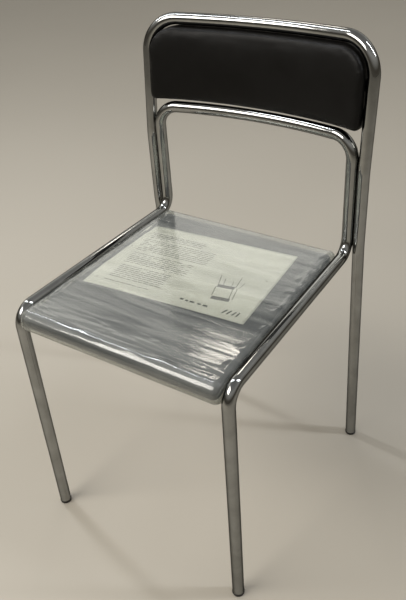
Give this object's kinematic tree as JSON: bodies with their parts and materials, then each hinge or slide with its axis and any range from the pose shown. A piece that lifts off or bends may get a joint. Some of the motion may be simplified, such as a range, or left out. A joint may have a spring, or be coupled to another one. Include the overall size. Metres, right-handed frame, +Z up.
{
  "type": "tubular steel stacking chair",
  "caption": "Armless chair with a bent chromed tube frame, curved padded back rail and a padded seat still wrapped in clear film over a printed sheet.",
  "frame": {"origin": "on the floor, under the centre of the chair's bounding box", "axes": "+X to the right seen from the front, +Y towards the rear of the chair, +Z up"},
  "size_m": [0.436, 0.4791, 0.8098],
  "materials": {
    "chrome_tube": "polished chrome plate with light scuffs and dull smears",
    "weld_metal": "plated weld bead",
    "strap_steel": "satin black paint",
    "plywood": "raw plywood",
    "seat_vinyl": "black vinyl over foam",
    "clear_film": "loose glossy clear film, wrinkled",
    "printed_paper": "matt paper with faint grey print",
    "back_vinyl": "near-black satin vinyl over foam",
    "back_panel": "black pebbled panel",
    "plated_screw": "zinc plated",
    "foot_plastic": "black moulded plastic"
  },
  "bodies": {
    "root": {"rear_hoop": "chrome_tube", "front_hoop": "chrome_tube", "hoop_welds": "weld_metal", "seat_strap_front": "strap_steel", "seat_strap_rear": "strap_steel", "seat_board": "plywood", "seat_cushion": "seat_vinyl", "seat_tee_nuts": "plated_screw", "seat_screws": "plated_screw", "paper_sheet": "printed_paper", "seat_film": "clear_film", "back_board": "plywood", "back_cushion": "back_vinyl", "back_cover": "back_panel", "back_tee_nuts": "plated_screw", "back_lugs": "strap_steel", "back_screws": "plated_screw", "foot_plug_front_left": "foot_plastic", "foot_plug_front_right": "foot_plastic", "foot_plug_rear_left": "foot_plastic", "foot_plug_rear_right": "foot_plastic"}
  },
  "joints": []
}
